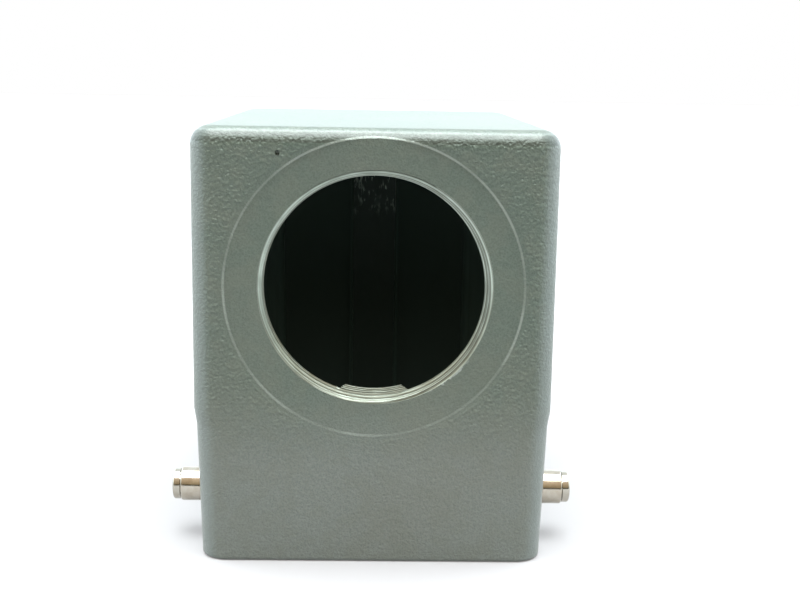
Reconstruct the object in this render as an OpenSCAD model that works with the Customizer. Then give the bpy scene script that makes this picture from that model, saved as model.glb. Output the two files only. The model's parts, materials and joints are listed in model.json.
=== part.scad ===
// Hood of a heavy duty rectangular connector: one die-cast housing with a side cable
// entry, open at the bottom, and four locking pegs with rollers on its long sides.
// Frame: Z up from the rim plane, Y along the hood, the cable entry faces -Y.

/* [Hood] */
// Length over the end walls, at the parting line
hood_l = 120; // [112:0.5:160]
// Width over the long walls, at the parting line
hood_w = 80; // [79:0.5:110]
// Height from the rim to the top
hood_h = 97; // [96:0.5:140]
// Height of the parting line above the rim
parting_z = 33; // [26:0.5:40]
// Height of the sloping step at the parting line
step_h = 3.2; // [1:0.1:5]
// How far each long side steps in below the parting line
step_in = 0.5; // [0.1:0.05:0.8]
// Draft of the outer walls above the parting line, degrees
upper_draft = 0.1; // [0:0.1:1]
// Draft of the outer walls below the parting line, degrees
skirt_draft = 1.5; // [0:0.1:2]
// Radius of the four upright corners
corner_r = 6; // [4.5:0.5:10]
// Fillet round the top edge
top_r = 4; // [2:0.5:4]
// Rounding of the rim's outer edge
rim_r = 0.9; // [0.4:0.1:1.2]

/* [Walls] */
// Thickness of the end walls at the rim
end_wall = 3.6; // [2.5:0.1:5]
// Thickness of the long walls at the rim
side_wall = 3.8; // [3:0.1:5]
// Thickness of the roof
roof = 4.2; // [3:0.1:8]
// Draft of the cavity walls, degrees
cavity_draft = 0.9; // [0.2:0.1:1.2]
// Radius inside the corners of the cavity
cavity_r = 4; // [3:0.5:5]

/* [Cable entry] */
// Nominal diameter of the metric entry thread
entry_d = 50; // [32:1:50]
// Pitch of the entry thread
entry_pitch = 1.5; // [1:0.5:2]
// Height of the entry's axis above the rim
entry_z = 62.5; // [58:0.5:63]
// Diameter of the chamfer at the mouth
entry_chamfer_d = 50.6; // [50.2:0.1:53]
// Diameter of the sunk seat for the gland
seat_d = 64.6; // [56:0.2:66]
// Depth of the sunk seat at the parting line
seat_depth = 0.55; // [0.4:0.05:1]
// Width of the seat's sloping edge
seat_slope = 0.7; // [0.1:0.1:1.2]

/* [Insert posts] */
// Spacing of the insert screws along the hood
screw_l = 104; // [96:0.5:104]
// Spacing of the insert screws across one insert
screw_w = 27; // [24:0.5:28]
// Distance between the two inserts' centre lines
insert_pitch = 35; // [34:0.5:36]
// Tapping drill of the insert screws, M4
screw_tap_d = 3.3; // [3:0.1:4]
// Depth of the tapped holes
screw_depth = 12; // [8:0.5:20]
// Metal round each insert screw
screw_land = 4; // [3:0.1:4.4]
// How far the posts stand back from the rim
post_z = 9; // [5:0.5:14]
// How much wider a post is at its root, on each side
post_flare = 1.8; // [0.5:0.1:2.5]
// How far the posts behind the entry stand clear of its thread's crests
post_relief = 0.35; // [0.3:0.05:1]

/* [Locking pegs] */
// Height of the pegs above the rim
peg_z = 12; // [10:0.5:20]
// Distance of the pegs from the end faces
peg_inset = 19.4; // [12:0.1:40]
// Diameter of the peg's shank
shank_d = 5; // [4:0.1:5.6]
// How far the shank's end stops short of the cavity
shank_short = 0.3; // [0:0.1:1]
// Diameter of the roller
roller_d = 8; // [7:0.1:9]
// Length of the roller
roller_l = 5.8; // [4:0.1:7]
// Rounding of the roller's edges
roller_edge = 0.4; // [0.1:0.1:0.8]
// Diameter of the peg's head
head_d = 7.3; // [6.5:0.1:8]
// Thickness of the peg's head
head_t = 1.7; // [1:0.1:2.2]
// Rounding of the head's rim
head_r = 0.6; // [0.2:0.1:0.8]
// Diameter of the collar that seats on the wall
collar_d = 6.8; // [6:0.1:7.5]
// Thickness of that collar
collar_t = 0.4; // [0.3:0.05:1]
// Diameter of the flat seat under each peg
peg_seat_d = 9.6; // [8.5:0.1:11]
// Depth of the flat seat at its lower edge
peg_seat_depth = 0.15; // [0.1:0.05:0.4]
// Radial clearance between roller and shank
roller_fit = 0.05; // [0.02:0.01:0.1]
// End play at each face of the roller
roller_play = 0.2; // [0.1:0.05:0.3]

/* [Hidden] */

FRONT = -1;
REAR = 1;
LEFT = -1;
RIGHT = 1;
cut = 1;
bite = 2;

// Outer half sizes at a height, for a half size at the parting line
function above(half, z) = half - (z - parting_z) * tan(upper_draft);
function below(half, z) = half - (parting_z - z) * tan(skirt_draft);
skirt_half_w = hood_w / 2 - step_in;
rim_half_w = below(skirt_half_w, 0);
rim_half_l = below(hood_l / 2, 0);

// The cavity narrows upward from the rim, so that its core can be drawn
cavity_half_w = rim_half_w - side_wall;
cavity_half_l = rim_half_l - end_wall;
cavity_top = hood_h - roof;
function drawn(half, z) = half - z * tan(cavity_draft);

// Thread height of a metric thread, for the bore at its crests
entry_bore_d = entry_d - 1.0825 * entry_pitch;
entry_seat_y = -hood_l / 2 + seat_depth;

// Posts: the inner faces lie one land beyond the screws
post_face_y = screw_l / 2 - screw_land;
inner_screw_x = insert_pitch / 2 - screw_w / 2;
outer_screw_x = insert_pitch / 2 + screw_w / 2;

// Pegs, stacked outward from their seats on the long sides
peg_y = hood_l / 2 - peg_inset;
shank_end_x = drawn(cavity_half_w, peg_z + shank_d / 2) + shank_short;
peg_seat_x = below(skirt_half_w, peg_z - peg_seat_d / 2) - peg_seat_depth;
collar_face_x = peg_seat_x + collar_t;
roller_start_x = collar_face_x + roller_play;
roller_end_x = roller_start_x + roller_l;
head_back_x = roller_end_x + roller_play;
head_face_x = head_back_x + head_t;

module at_corners(half_w, half_l, r) {
    for (x = [-1, 1], y = [-1, 1]) {
        translate([x * (half_w - r), y * (half_l - r), 0]) children();
    }
}

// A corner's outline at one height
module corner_slice(z) {
    translate([0, 0, z]) cylinder(r = corner_r, h = 0.01, $fn = 48);
}

// A corner whose edge is rounded, as a disc with a round rim
module rounded_corner(z, edge) {
    translate([0, 0, z]) rotate_extrude($fn = 48) intersection() {
        translate([corner_r - edge, 0]) circle(r = edge, $fn = 32);
        translate([0, -edge]) square([corner_r, 2 * edge]);
    }
}

module upper_body() {
    low_z = parting_z - step_h / 2;
    high_z = parting_z + step_h / 2;
    edge_z = hood_h - top_r;
    hull() {
        at_corners(skirt_half_w, below(hood_l / 2, low_z), corner_r) corner_slice(low_z);
        at_corners(above(hood_w / 2, high_z), above(hood_l / 2, high_z), corner_r)
            corner_slice(high_z);
        at_corners(above(hood_w / 2, edge_z), above(hood_l / 2, edge_z), corner_r)
            rounded_corner(edge_z, top_r);
    }
}

module skirt() {
    join_z = parting_z - step_h / 2;
    hull() {
        at_corners(below(skirt_half_w, rim_r), below(hood_l / 2, rim_r), corner_r)
            rounded_corner(rim_r, rim_r);
        at_corners(below(skirt_half_w, join_z), below(hood_l / 2, join_z), corner_r)
            corner_slice(join_z);
    }
}

module cavity() {
    ball_z = cavity_top - cavity_r;
    hull() {
        at_corners(drawn(cavity_half_w, -cut), drawn(cavity_half_l, -cut), cavity_r)
            translate([0, 0, -cut]) cylinder(r = cavity_r, h = 0.01, $fn = 32);
        at_corners(drawn(cavity_half_w, ball_z), drawn(cavity_half_l, ball_z), cavity_r)
            translate([0, 0, ball_z]) sphere(r = cavity_r, $fn = 32);
    }
}

// Plan of one post, from its face outward into the end wall
module post_plan(from_x, to_x) {
    root_y = drawn(cavity_half_l, post_z);
    reach = hood_l / 2 - bite;
    polygon([
        [from_x, post_face_y],
        [to_x, post_face_y],
        [to_x + post_flare, root_y],
        [to_x + post_flare, reach],
        [from_x - post_flare, reach],
        [from_x - post_flare, root_y]
    ]);
}

// The middle post carries a screw of each insert, the corner posts carry one each
module posts() {
    middle = inner_screw_x + screw_land - post_flare;
    corner = outer_screw_x - screw_land + post_flare;
    difference() {
        for (turn = [0, 180]) {
            rotate([0, 0, turn]) translate([0, 0, post_z])
                linear_extrude(cavity_top - post_z + cut) {
                    post_plan(-middle, middle);
                    post_plan(corner, hood_w / 2 - bite);
                    mirror([1, 0]) post_plan(corner, hood_w / 2 - bite);
                }
        }
        translate([0, -post_face_y + cut, entry_z]) rotate([90, 0, 0])
            cylinder(d = entry_bore_d + 2 * post_relief, h = hood_l / 2, $fn = 96);
    }
}

module insert_screw_holes() {
    for (side = [LEFT, RIGHT], x = [inner_screw_x, outer_screw_x], end = [FRONT, REAR]) {
        translate([side * x, end * screw_l / 2, post_z - cut])
            cylinder(d = screw_tap_d, h = screw_depth + cut, $fn = 32);
    }
}

// Everything turned from the gland's side: sunk seat, chamfer and threaded bore
module cable_entry() {
    chamfer = (entry_chamfer_d - entry_bore_d) / 2;
    translate([0, entry_seat_y, entry_z]) rotate([90, 0, 0]) {
        cylinder(d1 = seat_d, d2 = seat_d + 4 * seat_slope, h = 2 * seat_depth, $fn = 128);
        cylinder(d = seat_d, h = seat_depth + cut, $fn = 128);
        translate([0, 0, -chamfer])
            cylinder(d1 = entry_bore_d, d2 = entry_chamfer_d, h = chamfer, $fn = 96);
        translate([0, 0, -(hood_l / 2 - seat_depth - post_face_y) - cut])
            cylinder(d = entry_bore_d, h = hood_l / 2 - seat_depth - post_face_y + 2 * cut, $fn = 96);
    }
}

// Lays a part that is drawn along +Z so that it points outward from one long side
module at_peg(end, side) {
    translate([0, end * peg_y, peg_z]) rotate([0, side * 90, 0]) children();
}

module peg_holes() {
    for (end = [FRONT, REAR], side = [LEFT, RIGHT]) {
        at_peg(end, side) {
            translate([0, 0, cavity_half_w / 2]) cylinder(d = shank_d, h = hood_w / 2, $fn = 48);
            translate([0, 0, peg_seat_x]) cylinder(d = peg_seat_d, h = 3, $fn = 64);
        }
    }
}

module hood_shell() {
    color("#7f8b82") difference() {
        union() {
            upper_body();
            skirt();
        }
        difference() {
            cavity();
            posts();
        }
        insert_screw_holes();
        cable_entry();
        peg_holes();
    }
}

// Pressed into the wall up to its collar; the head keeps the roller on
module peg_pin(end, side) {
    color("#cfccc2") at_peg(end, side) rotate_extrude($fn = 64) {
        translate([0, shank_end_x]) square([shank_d / 2, head_back_x - shank_end_x]);
        translate([0, peg_seat_x]) square([collar_d / 2, collar_face_x - peg_seat_x]);
        translate([0, head_back_x]) square([head_d / 2, head_t - head_r]);
        translate([0, head_back_x]) square([head_d / 2 - head_r, head_t]);
        intersection() {
            translate([head_d / 2 - head_r, head_face_x - head_r]) circle(r = head_r, $fn = 32);
            translate([0, head_back_x]) square([head_d, head_t + cut]);
        }
    }
}

// A plain sleeve with a small round on both outer edges
module peg_roller(end, side) {
    bore = shank_d / 2 + roller_fit;
    wall = roller_d / 2 - bore;
    color("#d6d2c6") at_peg(end, side) rotate_extrude($fn = 64) {
        translate([bore, roller_start_x + roller_edge]) square([wall, roller_l - 2 * roller_edge]);
        translate([bore, roller_start_x]) square([wall - roller_edge, roller_l]);
        for (z = [roller_start_x + roller_edge, roller_end_x - roller_edge]) {
            translate([roller_d / 2 - roller_edge, z]) circle(r = roller_edge, $fn = 24);
        }
    }
}

module peg_pin_front_left() peg_pin(FRONT, LEFT);
module peg_pin_front_right() peg_pin(FRONT, RIGHT);
module peg_pin_rear_left() peg_pin(REAR, LEFT);
module peg_pin_rear_right() peg_pin(REAR, RIGHT);
module peg_roller_front_left() peg_roller(FRONT, LEFT);
module peg_roller_front_right() peg_roller(FRONT, RIGHT);
module peg_roller_rear_left() peg_roller(REAR, LEFT);
module peg_roller_rear_right() peg_roller(REAR, RIGHT);

hood_shell();
peg_pin_front_left();
peg_pin_front_right();
peg_pin_rear_left();
peg_pin_rear_right();
peg_roller_front_left();
peg_roller_front_right();
peg_roller_rear_left();
peg_roller_rear_right();
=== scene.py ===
"""Looks of a die-cast connector hood: hammertone paint, a cut entry thread and turned pegs."""
import json
import math

import bmesh
import bpy
from mathutils import Matrix, Vector

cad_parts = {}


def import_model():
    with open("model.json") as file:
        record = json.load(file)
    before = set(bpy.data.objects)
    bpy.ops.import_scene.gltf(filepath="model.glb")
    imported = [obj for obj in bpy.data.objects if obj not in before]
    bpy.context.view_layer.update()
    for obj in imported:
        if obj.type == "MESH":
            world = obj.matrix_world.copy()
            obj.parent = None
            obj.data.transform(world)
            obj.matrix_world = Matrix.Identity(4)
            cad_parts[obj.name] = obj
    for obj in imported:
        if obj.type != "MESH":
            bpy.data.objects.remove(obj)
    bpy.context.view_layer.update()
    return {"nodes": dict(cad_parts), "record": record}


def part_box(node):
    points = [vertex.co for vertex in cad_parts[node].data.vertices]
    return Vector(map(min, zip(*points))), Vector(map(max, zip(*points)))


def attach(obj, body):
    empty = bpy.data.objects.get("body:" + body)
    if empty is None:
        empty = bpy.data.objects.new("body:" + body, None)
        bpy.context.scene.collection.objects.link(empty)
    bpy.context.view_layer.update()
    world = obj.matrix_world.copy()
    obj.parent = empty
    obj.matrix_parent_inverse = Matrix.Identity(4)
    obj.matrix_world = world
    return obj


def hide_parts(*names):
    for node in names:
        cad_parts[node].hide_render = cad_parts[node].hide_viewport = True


MM = 0.001


def rgb(red, green, blue):
    return (red, green, blue, 1.0)


# Thread of the cable entry: over one pitch its flank goes from crest (0) to root (1) and back
THREAD_PITCH = 1.5 * MM
THREAD_DEPTH = 0.92 * MM
THREAD_FLANKS = (0.0, 0.0, 0.5, 1.0, 1.0, 0.5)
THREAD_FACETS = 192
# The cutter's narrow rings stay this far inside the CAD bore, so that its crests remain
CREST_INSET = 0.03 * MM
# Corners of the CAD mesh nearer than this are one
WELD_DISTANCE = 0.002 * MM
# How far the cutter runs out past the seat, and in past the middle post's face
OVERRUN_FRONT = THREAD_PITCH + 1.0 * MM
OVERRUN_BACK = 1.5 * MM

# Mouth of the entry: the thread flattens towards it, and a chamfer ends it
MOUTH_R = 25.36 * MM
MOUTH_THREAD = 0.55
LIP_R = 25.08 * MM
LIP_DEPTH = 0.30 * MM

# Sunk seat round the entry, and the end wall's inner face
SEAT_R = 32.3 * MM
SEAT_EDGE_W = 0.7 * MM
SEAT_DEPTH = 0.55 * MM
WALL_IN_Y = -54.9 * MM

# Middle posts, and the height over which the rear one is rubbed bare
POST_FACE_Y = 48.0 * MM
POST_HALF_W = 6.6 * MM
WORN_LOW_Z = 64.0 * MM
WORN_HIGH_Z = 76.0 * MM

# Height over which the paint changes from the smooth skirt to the coarse upper body
PAINT_LOW_Z = 20.0 * MM
PAINT_HIGH_Z = 44.0 * MM

# Flaws on the front face, each as x, z and radius: two bites, and paint gone by the thread
PINHOLE = (-20.8 * MM, 91.6 * MM, 0.5 * MM)
RIM_NICK = (34.0 * MM, 1.0 * MM, 0.5 * MM)
RIM_CHIP = (16.6 * MM, 43.2 * MM, 6.5 * MM)
BITE_STRETCH = (1.0, 1.6, 1.2, 1.0)

# Material slots of the casting. Faces whose normal is nearer to Y than FLAT aren't turned,
# and those under RIM_BAND belong to the rim, which is painted.
PAINT_SLOT, CUT_SLOT, INSIDE_SLOT = range(3)
FLAT = 0.97
RIM_BAND = 0.2 * MM
POST_MARGIN = 0.01 * MM
WALL_MARGIN = 0.5 * MM

# Faces that meet at more than this keep a sharp edge
SHARP_ANGLE = 24.0

# Textures, in cells or waves per metre
HAMMER_COARSE = 1300.0
HAMMER_FINE = 2600.0
HAMMER_GRAIN = 2400.0
HAMMER_WARP = 400.0
AGED_PATCHES = 26.0
OLIVE_PATCHES = 230.0
LINE_PATCHES = 70.0
CHIP_EDGE = 900.0
CUT_LINES = 420.0
CUT_BLOTCHES = 190.0
CUT_TURNING = 2600.0
POST_STREAKS = 1300.0
POST_PATCHES = 210.0
PEG_RINGS = 5200.0
PEG_STAINS = 420.0
FLOOR_PATCHES = 3.0

# How deep each relief is, and how far the warp and the chip's edge wander
HAMMER_RELIEF = 0.36 * MM
CUT_RELIEF = 0.06 * MM
INNER_RELIEF = 0.08 * MM
PEG_RELIEF = 0.02 * MM
WARP_REACH = 0.9 * MM
CHIP_WANDER = 0.35 * MM

# Relief left on the skirt, and taken away in the seat and on edges
SKIRT_RELIEF = 0.45
SEAT_SMOOTH = 0.6
EDGE_SMOOTH = 0.6

# Clear coat of the enamel, and what gloss the dark coat has
COAT_WEIGHT = 0.6
COAT_ROUGHNESS = 0.28
PAINT_METALLIC = 0.4
INNER_SPECULAR = 0.12

# Paint colours, from the darkest to the palest tone of each part
UPPER_DARK = rgb(0.058, 0.086, 0.066)
UPPER_PALE = rgb(0.088, 0.121, 0.096)
SKIRT_DARK = rgb(0.116, 0.139, 0.123)
SKIRT_PALE = rgb(0.152, 0.176, 0.158)
AGED_PAINT = rgb(0.128, 0.136, 0.108)
OLIVE_PAINT = rgb(0.118, 0.132, 0.100)
# Painted highlight for rounded edges
EDGE_HIGHLIGHT = rgb(0.150, 0.180, 0.168)
# Painted shade for the part of the top fillet that faces half up
PAINTED_FILLET_SHADE = rgb(0.034, 0.046, 0.036)
# Pale line on the seat's edge: worn paint, and painted light on the seat's shaded slope
WORN_AND_LIT_LINE = rgb(0.24, 0.28, 0.25)
CHIPPED = rgb(0.26, 0.30, 0.275)

# Bare casting in the entry
CUT_DULL = rgb(0.36, 0.42, 0.365)
CUT_BRIGHT = rgb(0.49, 0.57, 0.505)
# Painted shade for bare metal that faces up
CUT_UP_SHADE = rgb(0.160, 0.175, 0.150)
CUT_GROOVE = rgb(0.12, 0.125, 0.10)

# Dark coat inside
INNER_COAT = rgb(0.060, 0.090, 0.073)
# Painted shade for the rear middle post's face
INNER_POST_SHADE = rgb(0.044, 0.066, 0.053)
# Painted light for inner faces that look sideways
INNER_SIDES_LIT = rgb(0.110, 0.165, 0.134)
INNER_WORN = rgb(0.46, 0.55, 0.46)

# Pins and rollers: clean and stained metal, and how rough it is
PIN_METAL = (rgb(0.47, 0.45, 0.39), rgb(0.40, 0.37, 0.31), 0.13)
ROLLER_METAL = (rgb(0.50, 0.47, 0.40), rgb(0.43, 0.39, 0.32), 0.15)

# Just under the rim, so that the two never share a plane
FLOOR_Z = -0.02 * MM
FLOOR_HALF = 4.0
FLOOR_TONES = (rgb(0.265, 0.26, 0.265), rgb(0.275, 0.27, 0.275))
FLOOR_GLOW = rgb(1.0, 0.99, 1.0)
FLOOR_GLOW_STRENGTH = 0.16

# The studio, by direction; low and high are at the ends of each gradient
WHITE = rgb(1.0, 1.0, 1.0)
FRONT_LOW = rgb(0.60, 0.48, 0.31)
FRONT_HIGH = rgb(1.15, 0.92, 0.70)
BACK_LOW = rgb(1.95, 2.2, 2.3)
BACK_HIGH = rgb(1.45, 1.55, 1.62)
SIDE_BOXES = rgb(3.0, 3.3, 3.5)
ROOF_BOX = rgb(12.0, 12.6, 12.8)
FRONT_FOOT = rgb(0.05, 0.042, 0.02)

# Lamp over the hood
LAMP_PLACE = (0.0, -0.1, 0.9)
LAMP_TARGET = (0.0, 0.0, 0.05)
LAMP_SIZE = 0.8
LAMP_POWER = 1.5

CAMERA_PLACE = (-0.45 * MM, -330.4 * MM, 109.6 * MM)
CAMERA_PITCH = 12.1
CAMERA_YAW = 1.307
CAMERA_ROLL = 0.952
CAMERA_LENS = 57.22
CAMERA_SENSOR = 36.0
CAMERA_SHIFT_Y = 0.05
CAMERA_CLIP_START = 0.01


# ---------------------------------------------------------------- shader nodes

class Nodes:
    """Short calls for the nodes of one tree."""

    # Sockets of a Mix node that mixes colours
    MIX_FACTOR, MIX_A, MIX_B = 0, 6, 7
    MIX_RESULT = 2

    def __init__(self, tree):
        self.tree = tree

    def put(self, value, socket):
        if isinstance(value, bpy.types.NodeSocket):
            self.tree.links.new(value, socket)
        else:
            socket.default_value = value

    def add(self, kind, inputs=None, **settings):
        node = self.tree.nodes.new(kind)
        for name, value in settings.items():
            setattr(node, name, value)
        for name, value in (inputs or {}).items():
            self.put(value, node.inputs[name])
        return node

    def math(self, operation, a, b=0.0):
        return self.add("ShaderNodeMath", {0: a, 1: b}, operation=operation).outputs[0]

    def plus(self, a, b):
        return self.math("ADD", a, b)

    def minus(self, a, b):
        return self.math("SUBTRACT", a, b)

    def times(self, a, b):
        return self.math("MULTIPLY", a, b)

    def size(self, value):
        return self.math("ABSOLUTE", value)

    def larger(self, a, b):
        return self.math("MAXIMUM", a, b)

    def ramp(self, value, low, high, out_low=0.0, out_high=1.0):
        """From out_low to out_high on a smooth curve, while value goes from low to high."""
        limits = {"Value": value, "From Min": low, "From Max": high,
                  "To Min": out_low, "To Max": out_high}
        node = self.add("ShaderNodeMapRange", limits, interpolation_type="SMOOTHSTEP")
        return node.outputs["Result"]

    def band(self, value, middle, half, soft):
        """One inside middle +- half, falling to nothing over soft."""
        return self.ramp(self.size(self.minus(value, middle)), half, half + soft, 1.0, 0.0)

    def mix(self, factor, a, b):
        inputs = {self.MIX_FACTOR: factor, self.MIX_A: a, self.MIX_B: b}
        return self.add("ShaderNodeMix", inputs, data_type="RGBA").outputs[self.MIX_RESULT]


class Shader(Nodes):
    """A material under construction, measured in the object's own coordinates."""

    def __init__(self, name):
        self.material = bpy.data.materials.new(name)
        self.material.use_nodes = True
        super().__init__(self.material.node_tree)
        self.surface = self.tree.nodes["Principled BSDF"]
        self.place = self.add("ShaderNodeTexCoord").outputs["Object"]
        split = self.add("ShaderNodeSeparateXYZ", {0: self.place})
        self.x, self.y, self.z = split.outputs

    def scaled(self, factors):
        return self.add("ShaderNodeVectorMath", {0: self.place, 1: factors},
                        operation="MULTIPLY").outputs[0]

    def noise(self, scale, detail=2.0, vector=None):
        inputs = {"Vector": vector or self.place, "Scale": scale, "Detail": detail}
        return self.add("ShaderNodeTexNoise", inputs).outputs[0]

    def cells(self, scale, smoothness, vector):
        inputs = {"Vector": vector, "Scale": scale, "Smoothness": smoothness}
        node = self.add("ShaderNodeTexVoronoi", inputs, feature="SMOOTH_F1")
        return node.outputs["Distance"]

    def warped(self, scale, amount):
        """Object coordinates pushed about, so that cells lose their straight edges."""
        push = self.add("ShaderNodeTexNoise", {"Vector": self.place, "Scale": scale})
        push = self.add("ShaderNodeVectorMath", {0: push.outputs["Color"], 1: (amount,) * 3},
                        operation="MULTIPLY").outputs[0]
        return self.add("ShaderNodeVectorMath", {0: self.place, 1: push},
                        operation="ADD").outputs[0]

    def from_axis(self, across, up):
        """Distance from an axis along Y through (across, up)."""
        dx = self.minus(self.x, across)
        dz = self.minus(self.z, up)
        return self.math("SQRT", self.plus(self.times(dx, dx), self.times(dz, dz)))

    def facing(self):
        """The normal's x, y and z in the object's own coordinates."""
        normal = self.add("ShaderNodeTexCoord").outputs["Normal"]
        return self.add("ShaderNodeSeparateXYZ", {0: normal}).outputs

    def edges(self):
        """One on rounded edges, nothing on the flats: the normal is off all three axes."""
        along_x, along_y, along_z = (self.size(part) for part in self.facing())
        largest = self.larger(along_x, self.larger(along_y, along_z))
        return self.ramp(largest, 0.80, 0.98, 1.0, 0.0)

    def relief(self, height, depth, strength=1.0):
        inputs = {"Height": height, "Distance": depth, "Strength": strength}
        self.put(self.add("ShaderNodeBump", inputs).outputs[0], self.surface.inputs["Normal"])

    def look(self, colour, roughness, metallic=0.0):
        self.put(colour, self.surface.inputs["Base Color"])
        self.put(roughness, self.surface.inputs["Roughness"])
        self.surface.inputs["Metallic"].default_value = metallic


# ------------------------------------------------------------------- materials

def paint_tone(paint, fine, grain, edges):
    """The enamel's colour before wear: darker and greener above, with a painted highlight on
    rounded edges and painted shade where the top fillet faces half up.
    """
    tone = paint.plus(paint.times(fine, 0.45), paint.times(grain, 0.55))
    tone = paint.ramp(tone, 0.28, 0.62)
    colour = paint.mix(paint.ramp(paint.z, PAINT_LOW_Z, PAINT_HIGH_Z),
                       paint.mix(tone, SKIRT_DARK, SKIRT_PALE),
                       paint.mix(tone, UPPER_DARK, UPPER_PALE))
    aged = paint.ramp(paint.noise(AGED_PATCHES), 0.35, 0.65, 0.0, 0.3)
    colour = paint.mix(aged, colour, AGED_PAINT)
    olive = paint.ramp(paint.noise(OLIVE_PATCHES), 0.42, 0.62, 0.0, 0.22)
    colour = paint.mix(olive, colour, OLIVE_PAINT)

    # Painted shade where the surface faces half up, on the top fillet
    fillet_shade = paint.band(paint.facing()[2], 0.45, 0.20, 0.15)
    # Painted highlight on rounded edges, held back where the fillet's painted shade lies
    edge_highlight = paint.larger(paint.minus(paint.times(edges, 0.6), fillet_shade), 0.0)
    colour = paint.mix(edge_highlight, colour, EDGE_HIGHLIGHT)
    return paint.mix(paint.times(fillet_shade, 0.75), colour, PAINTED_FILLET_SHADE)


def paint_wear_and_light(paint, colour, from_entry, front):
    """Paint worn pale along the seat's edge, with painted light there on the shaded slope, and
    chipped off beside the thread.
    """
    # A pale line along the seat's edge: worn paint, and painted light that lifts the shade on
    # the seat's slope
    ring = paint.band(from_entry, SEAT_R + SEAT_EDGE_W / 2, 0.10 * MM, 0.25 * MM)
    worn = paint.times(ring, paint.ramp(paint.noise(LINE_PATCHES), 0.4, 0.6, 0.35, 0.8))
    colour = paint.mix(paint.times(worn, front), colour, WORN_AND_LIT_LINE)

    chip_x, chip_z, chip_r = RIM_CHIP
    chip = paint.ramp(paint.from_axis(chip_x, chip_z), 0.6 * chip_r, chip_r, 1.0, 0.0)
    ragged = paint.ramp(paint.noise(CHIP_EDGE), 0.3, 0.7, -CHIP_WANDER, CHIP_WANDER)
    beside = paint.ramp(paint.plus(from_entry, ragged),
                        MOUTH_R + 0.3 * MM, MOUTH_R + 0.6 * MM, 1.0, 0.0)
    return paint.mix(paint.times(paint.times(chip, beside), front), colour, CHIPPED)


def paint_relief(paint, coarse, fine, grain, smoothed):
    """Height of the hammertone: coarse cells that fade on the skirt and where smoothed."""
    rough = paint.ramp(paint.z, PAINT_LOW_Z, PAINT_HIGH_Z, SKIRT_RELIEF, 1.0)
    for amount in smoothed:
        rough = paint.times(rough, paint.minus(1.0, amount))
    height = paint.plus(paint.times(coarse, rough), paint.times(fine, 0.30))
    return paint.plus(height, paint.times(grain, 0.10))


def hammertone_paint(entry):
    """Grey-green hammertone enamel: coarse above, finer and greyer on the skirt."""
    paint = Shader("hammertone_paint")
    warped = paint.warped(HAMMER_WARP, WARP_REACH)
    coarse = paint.cells(HAMMER_COARSE, 0.8, warped)
    fine = paint.cells(HAMMER_FINE, 0.6, warped)
    grain = paint.noise(HAMMER_GRAIN, 3.0)
    edges = paint.edges()
    front = paint.ramp(paint.y, entry.y - 2 * MM, entry.y - 1 * MM, 1.0, 0.0)
    from_entry = paint.from_axis(entry.x, entry.z)
    seat_end = SEAT_R + SEAT_EDGE_W
    in_seat = paint.ramp(from_entry, seat_end + 0.3 * MM, seat_end + 1.0 * MM,
                         SEAT_SMOOTH, 0.0)

    colour = paint_tone(paint, fine, grain, edges)
    colour = paint_wear_and_light(paint, colour, from_entry, front)
    paint.look(colour, paint.ramp(coarse, 0.1, 0.8, 0.50, 0.64), PAINT_METALLIC)
    smoothed = (paint.times(in_seat, front), paint.times(edges, EDGE_SMOOTH))
    paint.relief(paint_relief(paint, coarse, fine, grain, smoothed), HAMMER_RELIEF)
    paint.surface.inputs["Coat Weight"].default_value = COAT_WEIGHT
    paint.surface.inputs["Coat Roughness"].default_value = COAT_ROUGHNESS
    return paint.material


def cut_metal(entry):
    """Bare casting where the entry was turned and threaded, with painted shade where it faces
    up.
    """
    metal = Shader("cut_metal")
    lines = metal.noise(CUT_LINES, 3.0, metal.scaled((1.0, 14.0, 1.0)))
    blotches = metal.ramp(metal.noise(CUT_BLOTCHES), 0.35, 0.7)
    colour = metal.mix(blotches, CUT_DULL, CUT_BRIGHT)
    # Painted shade: darker where the metal faces up, dimming the light from above
    up_shade = metal.ramp(metal.facing()[2], 0.1, 0.9, 0.0, 0.85)
    colour = metal.mix(up_shade, colour, CUT_UP_SHADE)

    reach = metal.plus(metal.from_axis(entry.x, entry.z), metal.times(metal.y, 0.5))
    turning = {"W": reach, "Scale": CUT_TURNING, "Detail": 1.0}
    turning = metal.add("ShaderNodeTexNoise", turning, noise_dimensions="1D").outputs[0]
    colour = metal.mix(metal.ramp(turning, 0.42, 0.56, 0.75, 0.0), colour, CUT_GROOVE)
    metal.look(colour, metal.ramp(lines, 0.3, 0.7, 0.34, 0.50), 1.0)
    metal.relief(metal.plus(lines, turning), CUT_RELIEF, 0.6)
    return metal.material


def post_wear(coat, crest, streaks):
    """Streaks and one rubbed edge on the rear middle post's face, near its top."""
    patches = coat.noise(POST_PATCHES)
    across = coat.band(coat.x, 0.0, POST_HALF_W, 0.2 * MM)
    rubbed = coat.times(coat.ramp(streaks, 0.52, 0.64), coat.ramp(patches, 0.4, 0.6))
    edge = coat.band(coat.x, POST_HALF_W - 0.3 * MM, 0.12 * MM, 0.15 * MM)
    worn = coat.larger(coat.times(rubbed, across), coat.times(edge, patches))
    return coat.times(coat.times(worn, crest), coat.ramp(coat.z, WORN_LOW_Z, WORN_HIGH_Z))


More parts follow.
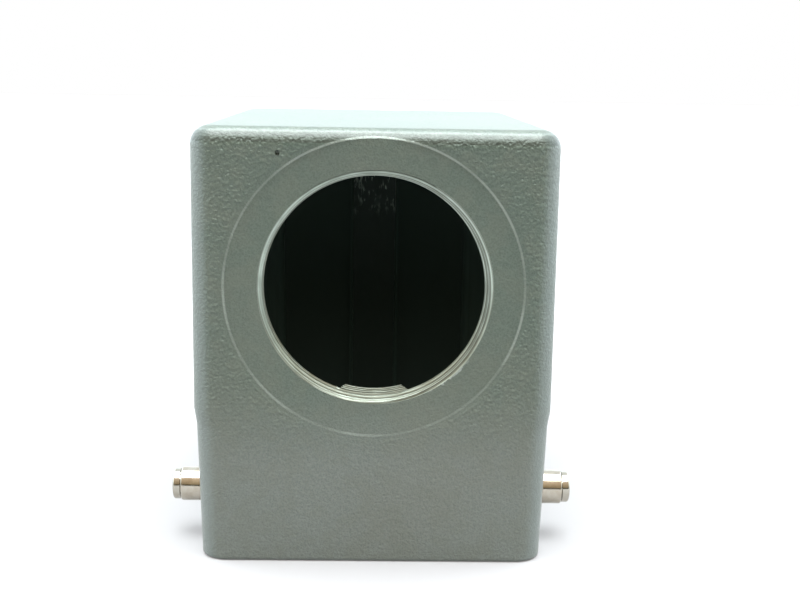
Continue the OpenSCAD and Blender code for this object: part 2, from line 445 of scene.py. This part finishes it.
def dark_inside():
    """Dark inner coat, rubbed to streaks of metal on the rear middle post, with painted shade
    on that post's face and painted light on faces that look sideways.
    """
    coat = Shader("dark_inside")
    crest = coat.band(coat.y, POST_FACE_Y, 0.3 * MM, 0.2 * MM)
    streaks = coat.noise(POST_STREAKS, 5.0, coat.scaled((1.0, 1.0, 0.35)))
    # Painted light: paler on inner faces that look sideways, lifting their shade
    sideways_light = coat.ramp(coat.size(coat.facing()[0]), 0.4, 0.9)
    # Painted shade darkens the rear middle post's face
    colour = coat.mix(crest, INNER_COAT, INNER_POST_SHADE)
    colour = coat.mix(sideways_light, colour, INNER_SIDES_LIT)
    colour = coat.mix(post_wear(coat, crest, streaks), colour, INNER_WORN)
    coat.look(colour, coat.ramp(streaks, 0.3, 0.7, 0.42, 0.60))
    coat.surface.inputs["Specular IOR Level"].default_value = INNER_SPECULAR
    coat.relief(streaks, INNER_RELIEF, 0.4)
    return coat.material


def turned_metal(name, clean, stained, roughness):
    """Bright metal with turning marks that run round an axis along X."""
    metal = Shader(name)
    rings = metal.noise(PEG_RINGS, 3.0, metal.scaled((1.0, 0.02, 0.02)))
    stain = metal.ramp(metal.noise(PEG_STAINS, 3.0), 0.35, 0.7)
    gloss = metal.ramp(rings, 0.3, 0.7, roughness - 0.05, roughness + 0.07)
    metal.look(metal.mix(stain, clean, stained), gloss, 1.0)
    metal.relief(rings, PEG_RELIEF, 0.35)
    return metal.material


def white_floor():
    """Plain white paper; its faint glow keeps it white under the hood's shadow."""
    floor = Shader("white_floor")
    floor.look(floor.mix(floor.noise(FLOOR_PATCHES), *FLOOR_TONES), 0.7)
    floor.surface.inputs["Emission Color"].default_value = FLOOR_GLOW
    floor.surface.inputs["Emission Strength"].default_value = FLOOR_GLOW_STRENGTH
    return floor.material


# ------------------------------------------------------------------ hood piece

def linked(name, data):
    piece = bpy.data.objects.new(name, data)
    bpy.context.scene.collection.objects.link(piece)
    return piece


def object_from(mesh, name):
    """An object made of a bmesh, which is freed."""
    data = bpy.data.meshes.new(name)
    mesh.to_mesh(data)
    mesh.free()
    return linked(name, data)


def thread_profile(y, bore_r, seat_y):
    """Crest radius and depth of the thread: it widens and flattens towards its mouth."""
    inner = bore_r - CREST_INSET
    lip_y = seat_y + LIP_DEPTH
    out = min(max((WALL_IN_Y - y) / (WALL_IN_Y - lip_y), 0.0), 1.0)
    crest = inner + out * (LIP_R - inner)
    if y < lip_y:
        crest += (lip_y - y) / LIP_DEPTH * (MOUTH_R - LIP_R)
    depth = THREAD_DEPTH * (1.0 - out * (1.0 - MOUTH_THREAD))
    return crest, depth


def threaded_rod(entry, bore_r, seat_y, start_y, end_y):
    """The shape that the thread's cutter sweeps: one helical sheet with closed ends."""
    steps = len(THREAD_FLANKS)
    rows = int((end_y - start_y) / THREAD_PITCH) * steps
    rod = bmesh.new()

    def vertex(row, facet):
        turn = facet / THREAD_FACETS
        y = start_y + (row / steps + turn) * THREAD_PITCH
        crest, depth = thread_profile(y, bore_r, seat_y)
        radius = crest + depth * THREAD_FLANKS[row % steps]
        angle = math.tau * turn
        return rod.verts.new((entry.x + radius * math.cos(angle), y,
                              entry.z + radius * math.sin(angle)))

    grid = [[vertex(row, facet) for facet in range(THREAD_FACETS)] for row in range(rows + 1)]
    for low, high in zip(grid, grid[1:]):
        for facet in range(THREAD_FACETS - 1):
            rod.faces.new((low[facet], low[facet + 1], high[facet + 1], high[facet]))
    # Each row's last facet meets the first one of the row a pitch further on
    for row in range(rows - steps):
        rod.faces.new((grid[row][-1], grid[row + steps][0],
                       grid[row + steps + 1][0], grid[row + 1][-1]))

    near = grid[0] + [grid[row][0] for row in range(steps, 0, -1)]
    far = grid[rows] + [grid[row][-1] for row in range(rows - 1, rows - steps - 1, -1)]
    for loop, y in ((near, start_y), (far, end_y + THREAD_PITCH)):
        hub = rod.verts.new((entry.x, y, entry.z))
        for first, second in zip(loop, loop[1:] + loop[:1]):
            rod.faces.new((first, second, hub))
    bmesh.ops.recalc_face_normals(rod, faces=rod.faces)
    return object_from(rod, "thread_cutter")


def flaw_cutter(front_y):
    """Two small round bites out of the front face."""
    bites = bmesh.new()
    for x, z, radius in (PINHOLE, RIM_NICK):
        place = Matrix.Translation((x, front_y, z)) @ Matrix.Diagonal(BITE_STRETCH)
        bmesh.ops.create_uvsphere(bites, u_segments=20, v_segments=12,
                                  radius=radius, matrix=place)
    return object_from(bites, "flaw_cutter")


def cut_away(piece, cutter):
    """Takes the cutter out of the piece for good."""
    cut = piece.modifiers.new("cut", "BOOLEAN")
    cut.operation = "DIFFERENCE"
    cut.solver = "EXACT"
    cut.object = cutter
    evaluated = piece.evaluated_get(bpy.context.evaluated_depsgraph_get())
    result = bpy.data.meshes.new_from_object(evaluated)
    piece.modifiers.clear()
    piece.data = result
    bpy.data.objects.remove(cutter)


def face_slot(face, entry):
    """Which material a face of the casting gets."""
    middle = face.calc_center_median()
    radius = math.hypot(middle.x - entry.x, middle.z - entry.z)
    turned = abs(face.normal.y) < FLAT and middle.y < -POST_FACE_Y - POST_MARGIN
    if turned and radius < MOUTH_R + MOUTH_THREAD * THREAD_DEPTH:
        return CUT_SLOT
    inward = middle.dot(face.normal) < 0.0 and middle.z > RIM_BAND
    return INSIDE_SLOT if inward and middle.y > WALL_IN_Y - WALL_MARGIN else PAINT_SLOT


def sort_faces(piece, entry):
    mesh = bmesh.new()
    mesh.from_mesh(piece.data)
    for face in mesh.faces:
        face.material_index = face_slot(face, entry)
        face.smooth = True
    mesh.to_mesh(piece.data)
    mesh.free()


def even_normals(piece):
    """Lets large faces lead the shading, so that fillets run smoothly into flats."""
    weighted = piece.modifiers.new("weighted", "WEIGHTED_NORMAL")
    weighted.keep_sharp = True
    return weighted


def hood_piece(frame, mount):
    """The casting with its real thread and flaws; it stands for the CAD shell."""
    entry = Vector(mount["pos_m"])
    bore_r = mount["dims"]["r_mm"] * MM
    front_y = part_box("hood_shell")[0].y
    seat_y = front_y + SEAT_DEPTH

    source = bmesh.new()
    source.from_mesh(frame["nodes"]["hood_shell"].data)
    bmesh.ops.remove_doubles(source, verts=source.verts, dist=WELD_DISTANCE)
    piece = object_from(source, "hood_casting")
    cut_away(piece, threaded_rod(entry, bore_r, seat_y, seat_y - OVERRUN_FRONT,
                                 -POST_FACE_Y + OVERRUN_BACK))
    cut_away(piece, flaw_cutter(front_y))

    sort_faces(piece, entry)
    for material in (hammertone_paint(entry), cut_metal(entry), dark_inside()):
        piece.data.materials.append(material)
    piece.data.set_sharp_from_angle(angle=math.radians(SHARP_ANGLE))
    even_normals(piece).weight = 100
    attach(piece, "hood")
    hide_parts("hood_shell")


# ---------------------------------------------------------------- carried nodes

def dress(frame, prefix, material):
    """A turned part keeps its CAD shape and gets its metal and smooth shading."""
    for name, node in frame["nodes"].items():
        if name.startswith(prefix):
            node.data.materials.clear()
            node.data.materials.append(material)
            even_normals(node)


# ----------------------------------------------------------------------- stage

def build_floor():
    sheet = bmesh.new()
    bmesh.ops.create_grid(sheet, x_segments=8, y_segments=8, size=FLOOR_HALF)
    floor = object_from(sheet, "floor")
    floor.location.z = FLOOR_Z
    floor.data.materials.append(white_floor())


def studio_light(nodes, x, y, z):
    """Softboxes above and beside, a pale back, and a dim brown front with a dark foot."""
    front = nodes.mix(nodes.ramp(z, 0.2, 0.8), FRONT_LOW, FRONT_HIGH)
    back = nodes.mix(nodes.ramp(z, 0.15, 0.40), BACK_LOW, BACK_HIGH)
    light = nodes.mix(nodes.ramp(y, -0.7, 0.3), front, back)
    beside = nodes.times(nodes.ramp(nodes.size(x), 0.30, 0.60), nodes.ramp(y, -0.6, 0.2))
    light = nodes.mix(beside, light, SIDE_BOXES)
    above = nodes.times(nodes.ramp(z, 0.80, 0.92), nodes.ramp(y, 0.15, 0.40, 1.0, 0.0))
    light = nodes.mix(above, light, ROOF_BOX)
    off_foot = nodes.larger(nodes.ramp(z, 0.10, 0.22), nodes.ramp(y, -0.5, -0.2))
    return nodes.mix(off_foot, FRONT_FOOT, light)


def build_world():
    """The studio as the object sees it; the eye sees plain white."""
    world = bpy.data.worlds.new("studio")
    bpy.context.scene.world = world
    world.use_nodes = True
    world.node_tree.nodes.clear()
    nodes = Nodes(world.node_tree)
    direction = nodes.add("ShaderNodeTexCoord").outputs["Generated"]
    split = nodes.add("ShaderNodeSeparateXYZ", {0: direction})
    studio = nodes.add("ShaderNodeBackground", {"Color": studio_light(nodes, *split.outputs)})
    plain = nodes.add("ShaderNodeBackground", {"Color": WHITE})
    seen = nodes.add("ShaderNodeLightPath").outputs["Is Camera Ray"]
    pick = {0: seen, 1: studio.outputs[0], 2: plain.outputs[0]}
    pick = nodes.add("ShaderNodeMixShader", pick)
    nodes.add("ShaderNodeOutputWorld", {0: pick.outputs[0]})


def build_lamp():
    lamp = bpy.data.lights.new("overhead", "AREA")
    lamp.shape = "SQUARE"
    lamp.size = LAMP_SIZE
    lamp.energy = LAMP_POWER
    holder = linked("overhead", lamp)
    holder.location = LAMP_PLACE
    aim = Vector(LAMP_TARGET) - Vector(LAMP_PLACE)
    holder.rotation_euler = aim.to_track_quat("-Z", "Y").to_euler()


def build_camera():
    bpy.context.scene.view_settings.view_transform = "Standard"
    data = bpy.data.cameras.new("camera")
    data.lens = CAMERA_LENS
    data.sensor_width = CAMERA_SENSOR
    data.shift_y = CAMERA_SHIFT_Y
    data.clip_start = CAMERA_CLIP_START
    camera = linked("camera", data)
    camera.matrix_world = (Matrix.Translation(CAMERA_PLACE)
                           @ Matrix.Rotation(math.radians(-CAMERA_YAW), 4, "Z")
                           @ Matrix.Rotation(math.radians(90.0 - CAMERA_PITCH), 4, "X")
                           @ Matrix.Rotation(math.radians(CAMERA_ROLL), 4, "Z"))
    bpy.context.scene.camera = camera


def main():
    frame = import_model()
    mounts = {mount["name"]: mount for mount in frame["record"]["mounts"]}
    build_camera()
    build_floor()
    build_world()
    build_lamp()
    hood_piece(frame, mounts["cable_entry"])
    dress(frame, "peg_pin", turned_metal("stainless_pin", *PIN_METAL))
    dress(frame, "peg_roller", turned_metal("nickel_roller", *ROLLER_METAL))


main()
